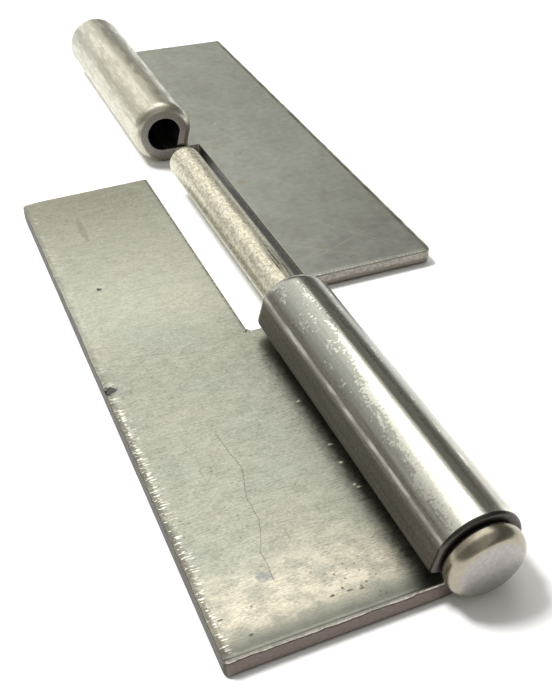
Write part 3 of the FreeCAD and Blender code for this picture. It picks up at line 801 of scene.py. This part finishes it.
def pin_finish(name, body, mottle, rough, contrast):
    """Drawn steel, with dark streaks where it leaves the roll; contrast sets how strong its blotches and pits
    are.
    """
    finish = Finish(name)
    across, along = finish.axis(0), finish.axis(1)
    blotches = finish.grain((0.6, 1.0, 0.6), 4.0, 0.4)
    speckle = finish.grain((0.4, 0.5, 0.4), 3.0)
    lines = finish.grain((0.35, 9.0, 0.35), 2.0, 0.2)
    colour = finish.blend(finish.step(blotches, 0.42, 0.58), body, mottle)
    uneven = finish.total(
        finish.step(speckle, 0.3, 0.7, -0.2, 0.2),
        finish.step(lines, 0.3, 0.7, -0.1, 0.1),
        finish.step(blotches, 0.35, 0.65, -0.2, 0.12),
    )
    shade = finish.total(finish.both(uneven, contrast), 1.0)
    colour = finish.blend(1.0, colour, shade, "MULTIPLY")
    pits = finish.both(finish.specks(0.9, 0.24, 0.35), contrast)
    colour = finish.mark(colour, pits, 0.8, PIN_PIT)
    beside_roll = finish.both(finish.step(along, -16.0, -30.0), finish.step(along, -60.0, -45.0))
    dark_streaks = finish.both(beside_roll, finish.step(across, -1.6, 0.6), finish.step(lines, 0.44, 0.52))
    colour = finish.blend(dark_streaks, colour, PIN_DARK_STREAK)
    spread = finish.step(blotches, 0.35, 0.65, -0.05 * contrast, 0.05 * contrast)
    height = finish.join("SUBTRACT", finish.total(blotches, speckle), pits)
    return finish.close(colour, finish.total(spread, rough), height, 0.04 * contrast)


profile = pin_profile()
turns = 2 * math.pi * np.arange(PIN_SIDES) / PIN_SIDES
pin_points, pin_faces, pin_kinds, rings = [], [], [], []
for y, radius, kind in profile:
    if radius == 0.0:
        rings.append([len(pin_points)] * PIN_SIDES)
        pin_points.append((0.0, y, AXIS_HEIGHT))
        continue
    rings.append(list(range(len(pin_points), len(pin_points) + PIN_SIDES)))
    pin_points += [(radius * math.sin(turn), y, AXIS_HEIGHT + radius * math.cos(turn)) for turn in turns]
for first, after, stretch in zip(rings, rings[1:], profile):
    for side in range(PIN_SIDES):
        beyond = (side + 1) % PIN_SIDES
        corners = [first[side], after[side], after[beyond], first[beyond]]
        pin_faces.append(tuple(dict.fromkeys(corners)))
        pin_kinds.append(stretch[2])
pin_points = np.array(pin_points)
radial = np.hypot(pin_points[:, 0], pin_points[:, 2] - AXIS_HEIGHT)
bare = (pin_points[:, 1] > HEAD_BACK_Y + KNUCKLE_LENGTH + 1) & (radial > 1)
swell = np.zeros(len(pin_points))
swell[bare] = SWELL * soft_noise(pin_points[bare], 1.6, 3)
pin_points[:, 0] *= 1 + swell / PIN
pin_points[:, 2] = AXIS_HEIGHT + (pin_points[:, 2] - AXIS_HEIGHT) * (1 + swell / PIN)
pin = finish_mesh("pin_dressed", pin_points, pin_faces, pin_kinds, [
    pin_finish("pin_shaft", body=(0.68, 0.645, 0.515), mottle=(0.80, 0.77, 0.63), rough=0.41, contrast=0.6),
    pin_finish("pin_head", body=(0.34, 0.31, 0.243), mottle=(0.37, 0.338, 0.268), rough=0.25, contrast=0.07),
    pin_finish("pin_face", body=(0.35, 0.33, 0.315), mottle=(0.385, 0.36, 0.345), rough=0.34, contrast=0.12),
], pin_points)
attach(pin, "pin")
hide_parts("pin")

# Far leaf: the same blank as the near leaf turned half round, its knuckle free to slide on the pin.
# It lies lifted off, its notch open over the pin; its face is plainer and greyer, with a few fine scratches.
FAR_EDGE_Y = 101.2
FAR_LEAN = -12.0
FAR_END_GAP = 0.25
FAR_PALE = (0.46, 0.47, 0.415)
FAR_COOL = (0.435, 0.45, 0.40)
FAR_NEAR_END = (0.33, 0.337, 0.307)
FAR_PIT = (0.14, 0.13, 0.12)
FAR_GLINT = (0.95, 0.92, 0.84)
BROWN_FLECK = (0.36, 0.295, 0.185)
FAR_SCRATCH = (0.62, 0.61, 0.55)
FREE_RIM_HIGHLIGHT = (0.85, 0.82, 0.72)
INSIDE_RIM = (0.15, 0.13, 0.10)
FAR_SCRATCHES = (
    ((28, 112), (15, 121)), ((20, 103), (8, 118)),
    ((11, 112), (4, 121.5)), ((24, 119), (12, 114)),
)
FAR_SCRATCH_HALF_WIDTH = 0.13
RIM_WIDTH = 1.2
RIM_DROP = 0.2
KNOCK = 0.35
KNOCK_REACH = 2.2
FREE_EDGE_WIDTH = 1.0
FREE_EDGE_OUT = 0.18
FREE_EDGE_UP = 0.1


def far_face_finish():
    """Flat faces of the far leaf: even grey steel, faintly streaked, with flecks, painted glints and a
    painted highlight on the free rim.
    """
    finish = Finish("far_leaf_face")
    across, along = finish.axis(0), finish.axis(1)
    streaks = finish.grain((4.0, 0.35, 4.0), 3.0, 0.6)
    cloud = finish.grain((7.0, 9.0, 7.0), 4.0)
    patch = finish.grain((1.6, 1.8, 1.6), 3.0)
    colour = finish.blend(finish.step(cloud, 0.35, 0.65), FAR_PALE, FAR_COOL)
    colour = finish.blend(finish.step(along, 70.0, 124.0), colour, FAR_NEAR_END)
    uneven = finish.total(
        finish.step(cloud, 0.3, 0.7, -0.09, 0.09),
        finish.step(patch, 0.3, 0.7, 0.94, 1.06),
        finish.step(streaks, 0.3, 0.7, -0.06, 0.06),
    )
    shade = finish.both(uneven, finish.step(along, 40.0, 5.0, 1.0, 1.15))
    colour = finish.blend(1.0, colour, shade, "MULTIPLY")
    pits = finish.specks(3.4, 0.3, 0.14)
    colour = finish.mark(colour, pits, 0.6, FAR_PIT)
    # Painted glints.
    colour = finish.blend(finish.specks(4.2, 0.25, 0.08), colour, FAR_GLINT)
    flecks = finish.both(finish.specks(5.0, 1.4, 0.4), finish.step(across, 12.0, 20.0))
    colour = finish.mark(colour, flecks, finish.step(patch, 0.4, 0.6, 0.0, 0.6), BROWN_FLECK)
    for places in FAR_SCRATCHES:
        colour = finish.mark(colour, finish.scratch(places, FAR_SCRATCH_HALF_WIDTH), 0.3, FAR_SCRATCH)
    # A painted highlight in patches along the free rim.
    rim = finish.both(finish.step(across, 0.2, 0.45, 0.7, 0.0), finish.step(patch, 0.35, 0.6))
    colour = finish.blend(rim, colour, FREE_RIM_HIGHLIGHT)
    inside_rim = finish.band(across, 0.3, 0.5, 0.7, 1.3)
    colour = finish.mark(colour, inside_rim, finish.step(cloud, 0.35, 0.6, 0.35, 0.9), INSIDE_RIM)
    rough = finish.step(streaks, 0.3, 0.7, 0.33, 0.39)
    height = finish.join("SUBTRACT", streaks, pits)
    return finish.close(colour, rough, height, 0.01)


far_points, far_sheet, far_faces, far_kinds = leaf_mesh(FAR_LEAN, FAR_END_GAP)
far_above = 1 - far_sheet[:, 2] / SHEET
near_rim = np.clip(1 - (LEAF_LENGTH - far_sheet[:, 1]) / RIM_WIDTH, 0, 1) ** 2
far_points[:, 2] -= RIM_DROP * near_rim * far_above
from_corner = np.hypot(far_sheet[:, 0], LEAF_LENGTH - far_sheet[:, 1])
knocked = KNOCK * np.clip(1 - from_corner / KNOCK_REACH, 0, 1) ** 2
far_points[:, 0] += knocked
far_points[:, 1] -= knocked
free_edge = np.where(far_sheet[:, 0] < FREE_EDGE_WIDTH)[0]
ragged = (FREE_EDGE_WIDTH - far_sheet[free_edge, 0]) * soft_noise(far_sheet[free_edge], 2.6, 4)
far_points[free_edge, 0] += FREE_EDGE_OUT * ragged
far_points[free_edge, 2] += FREE_EDGE_UP * ragged * far_above[free_edge]
far_points = far_points * np.array([-1, -1, 1]) + np.array([0, FAR_EDGE_Y, 0])
far_leaf = finish_mesh("far_leaf_dressed", far_points, far_faces, far_kinds, [
    far_face_finish(),
    roll_finish("far_roll", body=(0.60, 0.575, 0.475), polished=(0.65, 0.625, 0.525),
                low_end=(0.56, 0.545, 0.47), dark_from=63.5, roughness=0.28, rubbed=0.0),
    # notch_shade paints shadow on the notch's wall beside the pin.
    cut_finish("far_cut", burnished=(0.36, 0.335, 0.295), torn=(0.26, 0.235, 0.205),
               ring=(0.30, 0.277, 0.245), steel=(0.56, 0.54, 0.455), tear_depth=1.6, tear_line=0.25,
               side_shade=0.0, notch_shade=0.9),
], far_sheet)
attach(far_leaf, "far_leaf")
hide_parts("far_leaf")
far_near_y = FAR_EDGE_Y - LEAF_LENGTH + 0.35
far_edge_path = [(LEAF_REACH - 1.0, far_near_y, SHEET - 0.1), (10.0, far_near_y, SHEET - 0.1)]
burr_row("far_edge_burrs", far_edge_path, spacing=0.9, smallest=(0.1, 0.08, 0.04), largest=(0.8, 0.25, 0.12),
         seed=7, node="far_leaf")

# Stage: a white table with a low white wall round it, in a room lit by a long bright strip overhead.
# The strip lies beyond the part and the camera's side of the room is dim, so that the steel shows both.
# One lamp beyond the part throws its shadow forward on the table.
TABLE_HALF = 3.0
TABLE_WHITE = (0.97, 0.97, 0.97, 1)
TABLE_BOUNCE = (0.62, 0.61, 0.6, 1)
STRIP_COLOUR = (1.0, 0.985, 0.95, 1)
WALL_COLOUR = (0.17, 0.167, 0.15, 1)
LAMP_DIRECTION = (-0.36, 0.4, 0.85)
LAMP_SPREAD = 13
LAMP_STRENGTH = 2.8


def seen_rays(tree):
    """Share that is 1 for rays of sight, reflections too, and 0 for rays that spread light."""
    ray = tree.nodes.new("ShaderNodeLightPath").outputs
    seen = ray["Is Camera Ray"]
    for kind in ("Is Glossy Ray", "Is Transmission Ray"):
        either = tree.nodes.new("ShaderNodeMath")
        either.operation = "MAXIMUM"
        tree.links.new(seen, either.inputs[0])
        tree.links.new(ray[kind], either.inputs[1])
        seen = either.outputs[0]
    return seen


floor_mesh = bpy.data.meshes.new("table_top")
floor_corners = [(TABLE_HALF * x, TABLE_HALF * y, 0) for x, y in ((-1, -1), (1, -1), (1, 1), (-1, 1))]
floor_mesh.from_pydata(floor_corners, [], [(0, 1, 2, 3)])
floor = bpy.data.objects.new("table_top", floor_mesh)
bpy.context.scene.collection.objects.link(floor)
table = bpy.data.materials.new("table_white")
table.use_nodes = True
tree = table.node_tree
tree.nodes.clear()
white = tree.nodes.new("ShaderNodeBsdfDiffuse")
white.inputs["Color"].default_value = TABLE_WHITE
bounce = tree.nodes.new("ShaderNodeBsdfDiffuse")
bounce.inputs["Color"].default_value = TABLE_BOUNCE
by_path = tree.nodes.new("ShaderNodeMixShader")
output = tree.nodes.new("ShaderNodeOutputMaterial")
tree.links.new(seen_rays(tree), by_path.inputs[0])
tree.links.new(bounce.outputs[0], by_path.inputs[1])
tree.links.new(white.outputs[0], by_path.inputs[2])
tree.links.new(by_path.outputs[0], output.inputs["Surface"])
floor_mesh.materials.append(table)

world = bpy.data.worlds.new("room")
bpy.context.scene.world = world
world.use_nodes = True
room = world.node_tree
room.nodes.clear()


def room_step(value, low, high, first, last):
    """Smooth change from first to last in the room's light."""
    step = room.nodes.new("ShaderNodeMapRange")
    step.interpolation_type = "SMOOTHSTEP"
    for name, amount in zip(("From Min", "From Max", "To Min", "To Max"), (low, high, first, last)):
        step.inputs[name].default_value = amount
    room.links.new(value, step.inputs["Value"])
    return step.outputs[0]


def room_join(operation, first, second):
    """Arithmetic on two values of the room's light."""
    made = room.nodes.new("ShaderNodeMath")
    made.operation = operation
    room.links.new(first, made.inputs[0])
    room.links.new(second, made.inputs[1])
    return made.outputs[0]


def room_turn(low, high, first, last):
    """Smooth change from first to last while the turn round the pin's axis goes from low to high degrees."""
    return room_step(round_axis, math.radians(low), math.radians(high), first, last)


direction = room.nodes.new("ShaderNodeSeparateXYZ")
room.links.new(room.nodes.new("ShaderNodeTexCoord").outputs["Generated"], direction.inputs[0])
toward_far, overhead = direction.outputs["Y"], direction.outputs["Z"]
round_axis = room_join("ARCTAN2", overhead, direction.outputs["X"])
round_axis = room_join("SUBTRACT", round_axis, room_step(toward_far, 0.80, 0.91, 0.0, math.radians(22)))
strip = room_join("MULTIPLY", room_turn(48, 66, 0.0, 1.15), room_turn(76, 160, 1.0, 0.26))
glow_end = room_join("MULTIPLY", room_step(toward_far, 0.76, 0.82, 0.0, 0.4), room_turn(92, 106, 0.0, 1.0))
glow_end = room_join("MULTIPLY", glow_end, room_turn(122, 142, 1.0, 0.0))
streak_end = room_step(toward_far, 0.46, 0.74, math.radians(110), math.radians(74))
past_streak = room_join("SUBTRACT", round_axis, streak_end)
streak = room_join("MULTIPLY", room_turn(60, 65, 0.0, 0.72),
                   room_step(past_streak, 0.0, math.radians(12), 1.0, 0.0))
streak = room_join("MULTIPLY", streak, room_step(toward_far, 0.70, 0.82, 1.0, 0.0))
strip = room_join("ADD", room_join("ADD", strip, glow_end), streak)
strip = room_join("MULTIPLY", strip, room_step(toward_far, -0.05, 0.42, 0.2, 1.0))
glow = room.nodes.new("ShaderNodeBackground")
glow.inputs["Color"].default_value = STRIP_COLOUR
room.links.new(strip, glow.inputs["Strength"])
walls = room.nodes.new("ShaderNodeBackground")
walls.inputs["Color"].default_value = WALL_COLOUR
lit = room.nodes.new("ShaderNodeAddShader")
room.links.new(glow.outputs[0], lit.inputs[0])
room.links.new(walls.outputs[0], lit.inputs[1])
low_wall = room.nodes.new("ShaderNodeBackground")
low_wall.inputs["Color"].default_value = (1, 1, 1, 1)
low_wall_share = room_join("MULTIPLY", seen_rays(room), room_step(overhead, 0.10, 0.13, 1.0, 0.0))
backdrop = room.nodes.new("ShaderNodeMixShader")
room.links.new(low_wall_share, backdrop.inputs[0])
room.links.new(lit.outputs[0], backdrop.inputs[1])
room.links.new(low_wall.outputs[0], backdrop.inputs[2])
room.links.new(backdrop.outputs[0], room.nodes.new("ShaderNodeOutputWorld").inputs["Surface"])

lamp = bpy.data.lights.new("table_lamp", "SUN")
lamp.angle = math.radians(LAMP_SPREAD)
lamp.energy = LAMP_STRENGTH
lamp_object = bpy.data.objects.new("table_lamp", lamp)
bpy.context.scene.collection.objects.link(lamp_object)
toward_lamp = Vector(LAMP_DIRECTION).normalized()
lamp_object.location = toward_lamp
lamp_object.rotation_mode = "QUATERNION"
lamp_object.rotation_quaternion = toward_lamp.to_track_quat("Z", "Y")
lamp_object.visible_glossy = False

# Camera: close over the near end, at the photograph's angle.
# Its place, turn and focal length (in the photograph's pixels) are those that fit the photograph.
AZIMUTH, ELEVATION, ROLL = -24.67, 38.74, 1.78
AIM = (-4.38, -38.77, 0)
DISTANCE = 173.74
FOCAL_PIXELS = 940.41
PHOTO_HEIGHT = 700
azimuth, elevation, roll = math.radians(AZIMUTH), math.radians(ELEVATION), math.radians(ROLL)
toward = Vector((math.sin(azimuth) * math.cos(elevation), -math.cos(azimuth) * math.cos(elevation),
                 math.sin(elevation)))
sideways = Vector((math.cos(azimuth), math.sin(azimuth), 0))
upright = toward.cross(sideways)
right = math.cos(roll) * sideways + math.sin(roll) * upright
upward = -math.sin(roll) * sideways + math.cos(roll) * upright
camera = bpy.data.cameras.new("camera")
camera.sensor_width = 36.0
camera.lens = FOCAL_PIXELS / PHOTO_HEIGHT * camera.sensor_width
camera.clip_start = 0.01
camera_object = bpy.data.objects.new("camera", camera)
bpy.context.scene.collection.objects.link(camera_object)
camera_place = (Vector(AIM) + toward * DISTANCE) * MM
camera_turn = Matrix((right, upward, toward)).transposed().to_4x4()
camera_object.matrix_world = Matrix.Translation(camera_place) @ camera_turn
bpy.context.scene.camera = camera_object
bpy.context.scene.view_settings.view_transform = "Standard"
